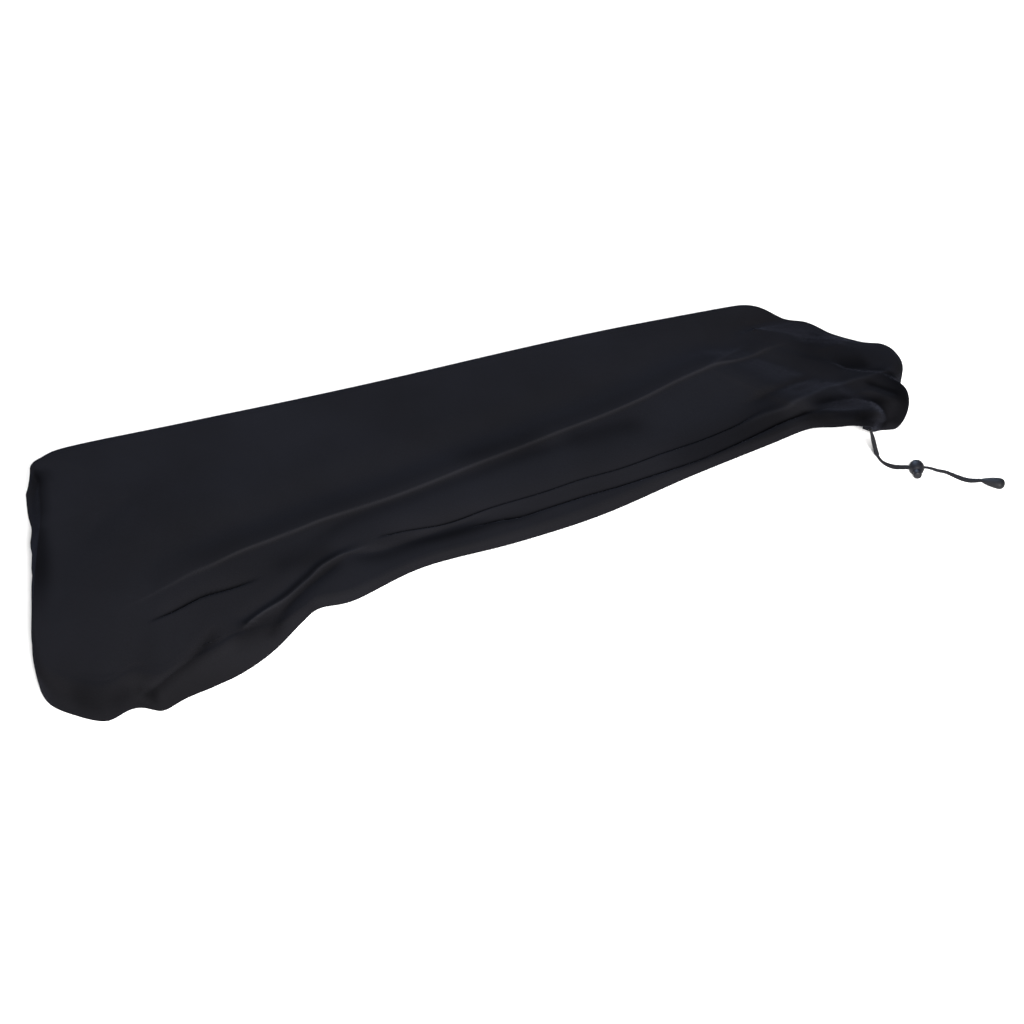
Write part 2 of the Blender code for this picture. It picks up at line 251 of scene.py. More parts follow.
def buildStretchKnit(s):
    material, tree, shader = startMaterial("stretchKnit", s["light"], s["roughness"])
    place = tree.nodes.new("ShaderNodeTexCoord")
    along = tree.nodes.new("ShaderNodeUVMap")
    along.uv_map = "cloth"
    wear = addGroup(tree, softWear, Patch=5.0, Fine=700.0)
    tree.links.new(place.outputs["Object"], wear.inputs["Vector"])
    knit = addGroup(tree, knitLoops, Wale=s["wale"], Course=s["course"])
    tree.links.new(along.outputs["UV"], knit.inputs["Vector"])
    base = rampBetween(tree, wear.outputs["Patches"], s["dark"], s["light"], 0.3, 0.7)
    shade = tree.nodes.new("ShaderNodeMix")
    shade.data_type = "RGBA"
    shade.blend_type = "MULTIPLY"
    shade.inputs[0].default_value = s["gapPaintedShadeShare"]
    tree.links.new(base, shade.inputs[6])
    # painted shade in the low gaps between the knit loops, multiplied into the colour
    loops = rampBetween(tree, knit.outputs["Height"], s["gapPaintedShade"], (1, 1, 1), 0.1, 0.8)
    tree.links.new(loops, shade.inputs[7])
    # painted shade in hollows and painted highlights on crests, as the mesh's own attribute says
    fold = tree.nodes.new("ShaderNodeAttribute")
    fold.attribute_name = "paintedFoldShading"
    twice = tree.nodes.new("ShaderNodeVectorMath")
    twice.operation = "SCALE"
    twice.inputs["Scale"].default_value = 2.0
    tree.links.new(fold.outputs["Color"], twice.inputs[0])
    paintedShading = tree.nodes.new("ShaderNodeVectorMath")
    paintedShading.operation = "MULTIPLY"
    tree.links.new(shade.outputs[2], paintedShading.inputs[0])
    tree.links.new(twice.outputs[0], paintedShading.inputs[1])
    tree.links.new(paintedShading.outputs[0], shader.inputs["Base Color"])
    rough = tree.nodes.new("ShaderNodeMapRange")
    rough.inputs["To Min"].default_value = s["roughness"] - 0.06
    rough.inputs["To Max"].default_value = s["roughness"] + 0.08
    tree.links.new(wear.outputs["Lint"], rough.inputs["Value"])
    tree.links.new(rough.outputs[0], shader.inputs["Roughness"])
    shader.inputs["Specular IOR Level"].default_value = s["specular"]
    shader.inputs["Sheen Weight"].default_value = s["sheen"]
    shader.inputs["Sheen Roughness"].default_value = s["sheenRoughness"]
    shader.inputs["Sheen Tint"].default_value = (*s["sheenTint"], 1)
    fine = bumpFrom(tree, wear.outputs["Lint"], 0.0002, 0.15)
    tree.links.new(bumpFrom(tree, knit.outputs["Height"], s["knitDepth"], s["knitStrength"], fine),
                   shader.inputs["Normal"])
    return material


# dark is the painted shade in the braid's dips, light the painted light on its raised strands
cordFinish = {
    "dark": (0.0035, 0.0036, 0.0045), "light": (0.0085, 0.0086, 0.0105), "roughness": 0.75,
    "specular": 0.08, "sheen": 0.02,
}


def buildCordBraid(s):
    material, tree, shader = startMaterial("cordBraid", s["light"], s["roughness"])
    along = tree.nodes.new("ShaderNodeAttribute")
    along.attribute_name = "braidHeight"
    place = tree.nodes.new("ShaderNodeTexCoord")
    wear = addGroup(tree, softWear, Patch=60.0, Fine=2500.0)
    tree.links.new(place.outputs["Object"], wear.inputs["Vector"])
    # painted shade in the dips between strands and painted light on the raised strands, by braid
    # height
    base = rampBetween(tree, along.outputs["Fac"], s["dark"], s["light"], 0.15, 0.9)
    tree.links.new(base, shader.inputs["Base Color"])
    shader.inputs["Specular IOR Level"].default_value = s["specular"]
    shader.inputs["Sheen Weight"].default_value = s["sheen"]
    shader.inputs["Sheen Tint"].default_value = (0.7, 0.72, 0.85, 1)
    tree.links.new(bumpFrom(tree, wear.outputs["Lint"], 0.0002, 0.3), shader.inputs["Normal"])
    return material


plasticFinish = {
    "lock": {"dark": (0.0036, 0.0037, 0.0050), "light": (0.0060, 0.0062, 0.0085),
             "roughness": 0.5, "specular": 0.16},
    "end": {"dark": (0.0048, 0.0049, 0.0058), "light": (0.0075, 0.0077, 0.0090),
            "roughness": 0.55, "specular": 0.12},
}


def buildMouldedPlastic(name, s):
    material, tree, shader = startMaterial(name, s["light"], s["roughness"])
    place = tree.nodes.new("ShaderNodeTexCoord")
    wear = addGroup(tree, softWear, Patch=180.0, Fine=3200.0)
    tree.links.new(place.outputs["Object"], wear.inputs["Vector"])
    tree.links.new(rampBetween(tree, wear.outputs["Patches"], s["dark"], s["light"]),
                   shader.inputs["Base Color"])
    rough = tree.nodes.new("ShaderNodeMapRange")
    rough.inputs["To Min"].default_value = s["roughness"] - 0.08
    rough.inputs["To Max"].default_value = s["roughness"] + 0.12
    tree.links.new(wear.outputs["Patches"], rough.inputs["Value"])
    tree.links.new(rough.outputs[0], shader.inputs["Roughness"])
    shader.inputs["Specular IOR Level"].default_value = s["specular"]
    tree.links.new(bumpFrom(tree, wear.outputs["Lint"], 0.00012, 0.35), shader.inputs["Normal"])
    return material


stretchKnit = buildStretchKnit(clothFinish)
cordBraid = buildCordBraid(cordFinish)
lockPlastic = buildMouldedPlastic("lockPlastic", plasticFinish["lock"])
endPlastic = buildMouldedPlastic("endPlastic", plasticFinish["end"])
print("materials ready")


cordSizes = {
    "diameter": 0.0043, "strands": 8, "lay": 0.011, "relief": 0.00022,
    "wide": 1.38, "thin": 0.78, "twistLength": 0.17, "twistStart": 142.0,
    "around": 28, "step": 0.0006,
    "route": ((0.5105, -0.0675, -0.041), (0.5135, -0.069, -0.051), (0.517, -0.071, -0.067),
              (0.5205, -0.0725, -0.079), (0.523, -0.079, -0.0836), (0.5265, -0.0875, -0.084),
              (0.532, -0.0955, -0.0828), (0.5375, -0.1035, -0.079), (0.5438, -0.1092, -0.0765),
              (0.5533, -0.1125, -0.0765), (0.5628, -0.1158, -0.0765), (0.571, -0.1165, -0.0798),
              (0.579, -0.1185, -0.0834), (0.587, -0.124, -0.084), (0.596, -0.137, -0.084),
              (0.605, -0.148, -0.083), (0.617, -0.156, -0.0803)),
}


def buildDrawcord(s):
    centre = evenPoints(s["route"], s["step"])
    steps = len(centre) - 1
    ahead = np.gradient(centre, axis=0)
    ahead /= np.linalg.norm(ahead, axis=1)[:, None]
    side = np.cross(ahead, (0.0, 0.35, 1.0))
    side /= np.linalg.norm(side, axis=1)[:, None]
    upward = np.cross(side, ahead)
    sheet, flat = gridSheet(s["around"], steps)
    turn = flat[:, 0] * 2 * math.pi
    ring = np.rint(flat[:, 1] * steps).astype(int)
    length = np.linalg.norm(centre[1] - centre[0]) * ring
    # two sets of strands cross over and under each other
    left = turn * s["strands"] / 2 + length * 2 * math.pi * s["strands"] / 2 / s["lay"]
    right = turn * s["strands"] / 2 - length * 2 * math.pi * s["strands"] / 2 / s["lay"]
    braid = np.maximum(np.cos(left) * 0.5 + 0.5, np.cos(right) * 0.5 + 0.5)
    braid = np.clip((braid - 0.45) / 0.55, 0, 1)
    radius = s["diameter"] / 2 - s["relief"] * (1 - braid)
    # the soft cord lies a little flat and turns over slowly along its length
    twist = math.radians(s["twistStart"]) + 2 * math.pi * length / s["twistLength"]
    across = np.cos(turn) * radius * s["wide"]
    above = np.sin(turn) * radius * s["thin"]
    place = (centre[ring] + side[ring] * (across * np.cos(twist) - above * np.sin(twist))[:, None]
             + upward[ring] * (across * np.sin(twist) + above * np.cos(twist))[:, None])
    place[:, 2] = np.maximum(place[:, 2], floorHeight + 0.0001)
    height = sheet.verts.layers.float.new("braidHeight")
    for point, where, raised in zip(sheet.verts, place, braid):
        point.co = where
        point[height] = raised
    bmesh.ops.remove_doubles(sheet, verts=sheet.verts, dist=1e-6)
    bmesh.ops.holes_fill(sheet, edges=[edge for edge in sheet.edges if edge.is_boundary], sides=0)
    bmesh.ops.recalc_face_normals(sheet, faces=sheet.faces)
    mesh = bpy.data.meshes.new("drawcordBraided")
    sheet.to_mesh(mesh)
    sheet.free()
    cord = addPiece("drawcordBraided", mesh, cordBraid)
    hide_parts("drawcord")
    return cord, centre


cord, cordLine = buildDrawcord(cordSizes)


def turnAndPlace(shape, alongTo, turnDegrees, centre):
    # lays the turned shape on its side, turns it about the vertical and puts it in place
    bmesh.ops.transform(shape, matrix=alongTo, verts=shape.verts)
    turn = Matrix.Rotation(math.radians(turnDegrees), 4, "Z")
    bmesh.ops.transform(shape, matrix=Matrix.Translation(centre) @ turn, verts=shape.verts)


def spinProfile(profile, steps):
    # a closed body turned about the z axis from a side outline of radius and height
    shape = bmesh.new()
    points = [shape.verts.new((r * mm, 0, z * mm)) for r, z in profile]
    edges = [shape.edges.new(pair) for pair in zip(points, points[1:])]
    bmesh.ops.spin(shape, geom=points + edges, cent=(0, 0, 0), axis=(0, 0, 1),
                   angle=2 * math.pi, steps=steps, use_merge=True)
    bmesh.ops.remove_doubles(shape, verts=shape.verts, dist=1e-6)
    bmesh.ops.recalc_face_normals(shape, faces=shape.faces)
    return shape


lockSizes = {
    "centre": (0.5533, -0.1125, -0.0765), "turn": -19.1, "steps": 64, "bore": 6.0,
    "outline": ((0, -9.3), (2.0, -9.1), (4.2, -8.3), (6.3, -6.8), (7.9, -4.9), (8.9, -2.6),
                (9.3, -0.2), (9.15, 2.2), (8.6, 4.4), (7.7, 6.6), (6.7, 8.2), (6.0, 9.1),
                (5.6, 9.4), (5.3, 9.0), (5.2, 8.6), (5.15, 9.2), (5.1, 14.6), (4.95, 15.6),
                (4.4, 16.7), (3.5, 17.3), (1.8, 17.7), (0, 17.8)),
}


def buildCordLock(s):
    shape = spinProfile(s["outline"], s["steps"])
    # the button points to the near side
    turnAndPlace(shape, Matrix.Rotation(math.radians(90), 4, "X"), s["turn"], s["centre"])
    mesh = bpy.data.meshes.new("cordLockRound")
    shape.to_mesh(mesh)
    shape.free()
    lock = addPiece("cordLockRound", mesh, lockPlastic)
    bore = bmesh.new()
    bmesh.ops.create_cone(bore, cap_ends=True, segments=40, radius1=s["bore"] / 2 * mm,
                          radius2=s["bore"] / 2 * mm, depth=0.03)
    turnAndPlace(bore, Matrix.Rotation(math.radians(90), 4, "Y"), s["turn"], s["centre"])
    cutterMesh = bpy.data.meshes.new("lockBore")
    bore.to_mesh(cutterMesh)
    bore.free()
    cutter = bpy.data.objects.new("lockBore", cutterMesh)
    bpy.context.scene.collection.objects.link(cutter)
    cut = lock.modifiers.new("bore", "BOOLEAN")
    cut.object = cutter
    cut.solver = "EXACT"
    bpy.context.view_layer.update()
    graph = bpy.context.evaluated_depsgraph_get()
    drilled = bpy.data.meshes.new_from_object(lock.evaluated_get(graph))
    lock.modifiers.clear()
    lock.data = drilled
    bpy.data.objects.remove(cutter)
    for face in drilled.polygons:
        face.use_smooth = True
    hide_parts("cord_lock")
    return lock


endSizes = {
    "turn": -36.0, "steps": 48, "flat": 0.76, "gap": 0.0002, "lift": 0.0061,
    "outline": ((0, 0), (2.1, 0), (2.45, 0.3), (2.7, 1.0), (3.3, 2.4), (4.2, 4.4), (5.1, 6.8),
                (5.9, 9.4), (6.5, 12.0), (7.0, 14.6), (7.4, 17.0), (7.7, 19.0), (7.85, 20.8),
                (7.85, 22.2), (7.55, 23.8), (6.85, 25.2), (5.7, 26.4), (4.3, 27.25), (2.6, 27.75),
                (1.2, 27.97), (0, 28.0)),
}


def buildCordEnd(s):
    shape = spinProfile(s["outline"], s["steps"])
    bmesh.ops.scale(shape, vec=(1, s["flat"], 1), verts=shape.verts)
    turn = math.radians(s["turn"])
    start = Vector(cordLine[-1]) + s["gap"] * Vector((math.cos(turn), math.sin(turn), 0))
    start.z = -0.086 + s["lift"]
    level = Matrix(((0, 0, 1, 0), (1, 0, 0, 0), (0, 1, 0, 0), (0, 0, 0, 1)))
    turnAndPlace(shape, level, s["turn"], start)
    bmesh.ops.recalc_face_normals(shape, faces=shape.faces)
    mesh = bpy.data.meshes.new("cordEndDrop")
    shape.to_mesh(mesh)
    shape.free()
    end = addPiece("cordEndDrop", mesh, endPlastic)
    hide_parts("cord_end")
    return end


cordLock = buildCordLock(lockSizes)
cordEnd = buildCordEnd(endSizes)
print("cord lock and cord end made")


# the cover's outline from above, in millimetres: x, y, height of the crest inside the edge, height
# of the hem, edge radius
outline = (
    (605, 60, -31, -84, 20), (600, 79, -32, -84, 19), (578, 90, -31, -84, 17),
    (545, 115, -26, -84, 16), (520, 141, -19, -84, 15), (488, 144, -8, -84, 14),
    (449, 155, 13, -84, 12), (400, 158, 18, -84, 12), (275, 158, 18, -84, 12),
    (132, 154, 18, -84, 12), (-28, 148, 17, -84, 12), (-155, 144, 17, -84, 12),
    (-275, 142, 17, -84, 12), (-411, 140, 16, -84, 13), (-450, 132, 15, -84, 16),
    (-470, 117, 12, -84, 20), (-474, 94, 9, -84, 22), (-479, 28, 0, -84, 22),
    (-488, -50, -12, -84, 24), (-499, -118, -21, -84, 25), (-503, -150, -26, -84, 25),
    (-500, -184, -31, -84, 25), (-482, -210, -35, -84, 25), (-443, -239, -36, -85, 24),
    (-406, -228, -36, -85, 17), (-380, -240, -36, -85, 16), (-349, -226, -35, -85, 14),
    (-291, -208, -34, -85, 12), (-249, -206, -28, -63, 12), (-212, -199, -19, -36, 9),
    (-190, -187, -17, -33, 9), (-150, -187, -16, -32, 9), (-64, -157, -16, -32, 9),
    (47, -149, -16, -32, 9), (153, -133, -15, -32, 9), (271, -100, -14, -31, 9),
    (380, -78, -11, -26, 9), (427, -74, -5, -19, 9), (451, -90, 3, -10, 9),
    (475, -96, 3, -9, 9), (517, -66, -12, -44, 14), (543, -40, -27, -78, 25),
    (571, -36, -31, -84, 27), (586, -11, -31, -84, 26), (578, 12, -32, -84, 15),
    (600, 38, -30, -84, 19),
)

# for each outline row from foldsFrom on: distance from the edge of the roll, of the band behind it
# and of the long ridge, and the lift of the ridge
foldsFrom = 23
folds = (
    (26, 44, 84, 0), (26, 44, 86, 0), (24, 42, 94, 0.6), (22, 36, 100, 1.0), (18, 28, 108, 1.4),
    (18, 30, 116, 1.6), (32, 41, 120, 2), (44, 52, 120, 2), (54, 64, 120, 2), (38, 54, 119, 2),
    (38, 53, 130, 2), (33, 50, 132, 2), (20, 38, 127, 2), (26, 42, 137, 2), (30, 46, 133, 1.5),
    (42, 62, 140, 1), (48, 74, 150, 0), (46, 64, 130, 0), (40, 58, 120, 0), (34, 56, 120, 0),
    (27, 50, 115, 0), (20, 40, 110, 0), (24, 40, 105, 0), (24, 44, 100, 0),
)
plainFolds = (22, 40, 90, 0)

coverSizes = {
    "spineRight": (395.0, 105.0, 10.26), "spineLeft": (-330.0, 40.0, 5.76), "spineReach": 30.0,
    "spineStep": 5.0, "perHalf": 48, "bendWeight": 45.0, "columns": 262, "seamColumns": 8,
    "topPasses": 40, "seamReach": 80, "seamPasses": 36, "seamRearRows": 14, "seamFrontRows": 122,
    "measuredRow": 60,
    "tuck": 14.0, "hemCorner": 4.0, "under": 1.1, "underFrom": 13.0,
    "gatherDepth": 2.2, "gatherLength": 118.0, "gatherBelow": -60.0, "gatherFront": -120.0,
    "swell": 0.4, "swellFrom": 20.0, "swellRight": 250.0, "swellBlend": 300.0,
    "lowest": -85.2, "thickness": 0.0011,
    # the crisp top edge at the left end: y, its distance inside the hem, how much of it
    "leftEdge": ((-175, 22, 0), (-150, 14, 0.3), (-118, 9, 0.8), (-50, 12, 1), (28, 20, 1),
                 (94, 24, 1), (117, 20, 0.9), (128, 16, 0)),
    "liftShare": 0.25, "leftEdgeRound": 4.0, "leftEdgeLean": 24.0, "leftEdgeFrom": -440.0,
    # how many pixels higher or lower a millimetre of relief shows, and the steps of a line
    "crestShift": 0.68, "troughShift": 0.204, "lineStep": 8.0,
    # how far a line acts at most, how far off its height the cloth still counts as the same
    # layer, and how much of the way the rows are drawn to it
    "lineReach": 60.0, "sameSheet": 12.0, "pullShare": 0.6,
}

# creases, ridges and painted shades of the cloth. Each line is placed where it shows, in pixels of
# the picture, and is read on the bare cloth through the camera. It has the fade at its two ends as
# shares of its length, how near rows are drawn to it, and soft troughs and ridges in millimetres:
# offset behind the line, depth (negative stands up), reach behind and before, sharpness. Painted
# shades are paler or darker bands of the cloth's colour in the same way.
reliefs = (
    # valleys of the front left corner, the first with painted shade
    {"seen": ((218, 621), (207, 639), (197, 652), (184, 667), (168, 681), (152, 693),
              (143, 702)),
     "fade": (0.25, 0.03), "pull": 4,
     "shapes": ((0, 5.5, 16, 4, 1.6),),
     "paintedShades": ((2, -0.35, 9, 4),)},
    {"seen": ((246, 630), (232, 637), (220, 648), (206, 664)),
     "fade": (0.3, 0.3),
     "shapes": ((0, -1.6, 8, 3, 1.6),)},
    # the long thin ridge across the top, rising from a shallow dip behind it
    # painted highlights along the crests and painted shade in the dip behind
    {"seen": ((109, 617), (136, 601), (170, 584), (190, 573), (210, 565), (240, 551),
              (280, 536), (320, 520), (360, 506.5), (400, 493), (440, 477.5), (480, 461.5),
              (520, 446.5), (560, 431), (600, 416), (640, 399), (680, 379), (712, 365),
              (737, 360), (765, 349), (795, 338.5)),
     "fade": (0.2, 0.08), "pull": 5,
     "shapes": ((0.8, -3, 26, 2, 1.4), (44, 4.2, 26, 20, 2)),
     "paintedShades": ((0, 0.62, 1.4, 1.4), (14, -0.14, 14, 12))},
    {"seen": ((704, 369), (720, 360), (735, 351), (748, 342)),
     "fade": (0.4, 0.4),
     "shapes": ((0, -1.2, 6, 4, 1.6),),
     "paintedShades": ((0, 0.4, 3, 3),)},
    # a soft valley in front of it, with painted shade
    {"seen": ((285, 553), (320, 535), (345, 520), (380, 506), (410, 496), (440, 484),
              (480, 470), (520, 455), (560, 443), (600, 430)),
     "fade": (0.2, 0.2),
     "shapes": ((0, 2, 12, 15, 1.8),),
     "paintedShades": ((-2, -0.22, 8, 11),)},
    # a short sharp crease at the left, painted dark along it
    {"seen": ((144, 625), (160, 617), (175, 610), (190, 602), (205, 595), (220, 591),
              (240, 585), (264, 578)),
     "fade": (0.25, 0.25), "pull": 4,
     "shapes": ((0, 4.2, 9, 1.8, 1.4),),
     "paintedShades": ((0, -0.92, 2, 2),)},
    # the upper fold of the front, with a dark wedge at its left end
    # painted shade in the wedge and along the creases, and a painted highlight on the crest
    {"seen": ((241, 628), (250, 620.5), (262, 611.5), (280, 599), (290, 591), (300, 582),
              (310, 573.5), (320, 564), (328, 558.5), (340, 552.5), (360, 543.5), (378, 537)),
     "fade": (0.08, 0.42), "pull": 5,
     "shapes": ((-1.2, -5, 6, 1.8, 1.3), (11, 3, 9, 5.5, 1.8)),
     "paintedShades": ((4, -0.5, 5, 3), (-1, 0.8, 1.3, 1.3))},
    {"seen": ((374, 538.5), (382, 535.5), (400, 530.5), (420, 526.5), (440, 522.5),
              (460, 516.5), (480, 510), (500, 504), (540, 492.5), (580, 479), (620, 468),
              (660, 453.5), (700, 440), (735, 425.5), (760, 413.5), (775, 409)),
     "fade": (0.06, 0.15), "pull": 5,
     "shapes": ((0, 4.6, 12, 1.8, 1.4), (-3.6, -1.2, 1.8, 5, 1.4)),
     "paintedShades": ((0, -0.92, 2, 2),)},
    # the fold behind the hem
    # painted shade in its hollows and along its crease, and a painted highlight in front
    {"seen": ((333, 557.5), (350, 553.5), (380, 548.5), (400, 542.5), (430, 532), (460, 522),
              (480, 517), (500, 514)),
     "fade": (0.25, 0.25), "pull": 5,
     "shapes": ((0, 6, 11, 22, 1.3),),
     "paintedShades": ((-9, -0.3, 8, 12), (4, 0.2, 4, 4))},
    {"seen": ((271, 644), (272, 632), (276, 619), (284, 605), (297, 591.5), (315, 576),
              (335, 562), (350, 558)),
     "fade": (0.08, 0.2),
     "shapes": ((0, 5.5, 8, 12, 1.8),),
     "paintedShades": ((-3, -0.3, 7, 9),)},
    {"seen": ((460, 526), (480, 523.5), (500, 519), (520, 516), (540, 509.5), (580, 496.5),
              (620, 485), (660, 472), (700, 459), (730, 446), (760, 432), (780, 423),
              (800, 415.5), (820, 410.5), (840, 408)),
     "fade": (0.1, 0.15), "pull": 5,
     "shapes": ((0, 5.6, 12, 2.2, 1.4),),
     "paintedShades": ((0, -0.93, 2.6, 2.4),)},
    # the bunch at the right end
    # painted shade in the hollows and highlights on the crests, then bands of painted shade alone
    {"seen": ((735, 425), (760, 414.5), (790, 403.5), (810, 394.5), (830, 386), (850, 380),
              (866, 376), (885, 370.5), (897, 362)),
     "fade": (0.2, 0.1), "pull": 5,
     "shapes": ((0, -4.5, 12, 13, 1.5),),
     "paintedShades": ((0, 0.45, 2.6, 2.6), (9, -0.1, 5, 6))},
    {"seen": ((738, 406), (760, 395), (780, 386), (800, 379), (818, 373)),
     "fade": (0.25, 0.25), "pull": 4,
     "shapes": ((-2, 4, 5, 12, 1.6),),
     "paintedShades": ((-4, -0.2, 6, 8),)},
    {"seen": ((795, 341), (806, 338), (824, 334)),
     "fade": (0.35, 0.35),
     "shapes": ((0, 2.5, 14, 10, 2),),
     "paintedShades": ((0, -0.25, 12, 12),)},
    {"seen": ((813, 350.5), (830, 346), (847, 342)),
     "fade": (0.3, 0.3),
     "shapes": ((0, -2, 10, 4.5, 1.5),)},
    {"seen": ((836, 368), (848, 366), (860, 365), (874, 362)),
     "fade": (0.3, 0.3),
     "shapes": ((0, 2.5, 16, 12, 2),),
     "paintedShades": ((0, -0.45, 18, 9),)},
    {"seen": ((862, 385), (870, 384.5), (880, 387), (890, 390), (900, 395)),
     "fade": (0.25, 0.1),
     "shapes": ((0, 1.5, 5, 4, 1.8),),
     "paintedShades": ((0, -0.55, 4.5, 4.5),)},
    {"seen": ((858, 391), (870, 391), (880, 394), (890, 398), (899, 403)),
     "fade": (0.3, 0.2),
     "shapes": ((0, -2, 6, 6, 1.8),),
     "paintedShades": ((0, 0.2, 3, 3),)},
    {"seen": ((806, 409), (820, 403), (832, 400), (845, 398), (858, 398), (870, 399.5),
              (880, 402), (888, 408), (893, 415)),
     "fade": (0.2, 0.2),
     "shapes": ((0, 2.5, 8, 10, 1.8),),
     "paintedShades": ((0, -0.62, 8, 9),)},
    {"seen": ((812, 414), (825, 413), (840, 412), (850, 411), (862, 411), (873, 412),
              (882, 415), (888, 420)),
     "fade": (0.2, 0.15),
     "shapes": ((0, -3, 8, 6, 1.8),),
     "paintedShades": ((0, 0.2, 3, 3),)},
    {"seen": ((846, 417), (860, 418), (872, 420), (882, 423), (892, 425)),
     "fade": (0.3, 0.1),
     "shapes": ((0, 1, 6, 5, 1.8),),
     "paintedShades": ((-2, -0.6, 7, 12),)},
    {"seen": ((778, 338), (820, 352), (855, 365), (885, 385), (897, 405)),
     "fade": (0.25, 0.05),
     "paintedShades": ((0, -0.3, 38, 42),)},
    {"seen": ((825, 404), (845, 400), (862, 400.5), (874, 404.5), (882, 412), (881, 423)),
     "fade": (0.2, 0.05),
     "paintedShades": ((0, -0.6, 9, 9),)},
    {"seen": ((788, 392), (802, 386.5), (818, 382.5), (834, 381)),
     "fade": (0.25, 0.25),
     "paintedShades": ((0, -0.4, 6, 6),)},
    {"seen": ((785, 420), (820, 416), (850, 415), (875, 418)),
     "fade": (0.25, 0.1),
     "paintedShades": ((0, -0.5, 11, 13),)},
    {"seen": ((890, 372), (900, 385), (903, 400), (900, 415), (890, 426)),
     "fade": (0.1, 0.1),
     "paintedShades": ((0, -0.5, 18, 18),)},
    {"seen": ((640, 462), (680, 452), (720, 437), (760, 421), (800, 405)),
     "fade": (0.35, 0.15),
     "paintedShades": ((0, -0.36, 36, 46),)},
    {"seen": ((790, 352), (805, 356), (820, 359.5), (833, 363), (843, 368), (860, 370),
              (880, 371), (890, 375), (898, 380)),
     "fade": (0.2, 0.1),
     "paintedShades": ((0, -0.26, 3.4, 3.4),)},
    # painted shade in the wide soft hollows
    {"seen": ((60, 690), (100, 700), (150, 695)),
     "fade": (0.3, 0.3),
     "paintedShades": ((0, -0.34, 16, 22),)},
    {"seen": ((262, 572), (300, 560), (345, 547)),
     "fade": (0.3, 0.3),
     "paintedShades": ((0, -0.28, 18, 14),)},
    {"seen": ((370, 548), (400, 541), (450, 532), (520, 516), (560, 505)),
     "fade": (0.25, 0.3),
     "paintedShades": ((0, -0.4, 9, 9),)},
    {"seen": ((550, 444), (600, 432), (655, 419)),
     "fade": (0.3, 0.3),
     "paintedShades": ((0, -0.34, 14, 20),)},
    {"seen": ((440, 460), (500, 450), (560, 437)),
     "fade": (0.3, 0.3),
     "paintedShades": ((0, -0.22, 20, 20),)},
    {"seen": ((225, 642), (260, 630), (288, 613)),
     "fade": (0.3, 0.3),
     "paintedShades": ((0, -0.28, 16, 16),)},
    # painted shade on the side wall at the left end
    {"seen": ((33, 472), (34, 500), (36, 530), (38.5, 560), (37.5, 600), (36.5, 632)),
     "fade": (0.06, 0.4),
     "paintedShades": ((0, -0.55, 14, 12, 3),)},
    {"seen": ((37.5, 468), (39, 488), (40, 508), (41, 530)),
     "fade": (0.05, 0.3),
     "paintedShades": ((0, -0.45, 10, 9, 3),)},
)


def coverStations(s):
    # middle-line points and, for each section, its place in the outline
    right, left = np.array(s["spineRight"]), np.array(s["spineLeft"])
    length = np.hypot(*(left - right)[:2])
    along = (left - right)[:2] / length
    across = np.array([along[1], -along[0]])
    at = np.arange(0, len(outline), 0.02)
    off = curveThrough(outline, at, True)[:, :2] - right[:2]
    a, b = off @ along, off @ across
    first = np.argmax((b > 0) & (np.roll(b, 1) <= 0) & (a < 0))
    a, b, at = np.roll(a, -first), np.roll(b, -first), np.roll(at, -first)
    at = np.where(at < at[0], at + len(outline), at)
    turn = np.argmin(b > 0)
    da, db = np.roll(a, -1) - a, np.roll(b, -1) - b
    heading = np.unwrap(np.arctan2(db, da))
    bend = np.abs(np.diff(heading, append=heading[-1]))
    run = np.concatenate([[0], np.cumsum(np.hypot(da, db) + s["bendWeight"] * bend)])
    at, a = np.append(at, at[0] + len(outline)), np.append(a, a[0])

    def readings(steps):
        back = np.interp(np.linspace(run[0], run[turn], steps + 1), run, at)
        front = np.interp(np.linspace(run[turn], run[-1], steps + 1), run, at)[::-1]
        return back, front

    back, front = readings(s["perHalf"])
    middle = (np.interp(back, at, a) + np.interp(front, at, a)) / 2
    near = s["spineReach"] + 10
    reach = np.interp(middle, (middle[0], near, length - near, middle[-1]),
                      (-s["spineReach"], near, length - near, length + s["spineReach"]))
    steps = np.maximum(np.diff(reach), s["spineStep"])
    reach = (np.append(0, np.cumsum(steps)) * (reach[-1] - reach[0]) / steps.sum()
             - s["spineReach"])
    fine = s["columns"]
    share = np.linspace(0, s["perHalf"], fine + 1)
    reach = curveThrough(reach[:, None], share)[:, 0]
    spine = right + np.outer(reach / length, left - right)
    back, front = readings(fine)
    return spine, back, front


def foldRows(at):
    # fold distances at places in the outline, blended out where there are no folds
    count = len(outline)
    past = (at - foldsFrom) % count
    rows = curveThrough(folds, past)
    last = len(folds) - 1
    share = np.minimum(1, np.minimum(np.maximum(past - last, 0), count - past))
    near = np.where((count - past < 1)[:, None], np.array(folds[0], float),
                    np.array(folds[-1], float))
    outside = (past > last)[:, None]
    plain = near + (np.array(plainFolds) - near) * share[:, None]
    return np.where(outside, plain, rows)


def softHump(distance, behind, before, power=2.0):
    # 1 on the line, fading over one reach behind it and another before it
    reach = np.where(distance > 0, behind, before)
    return np.exp(-np.abs(distance / reach) ** power)


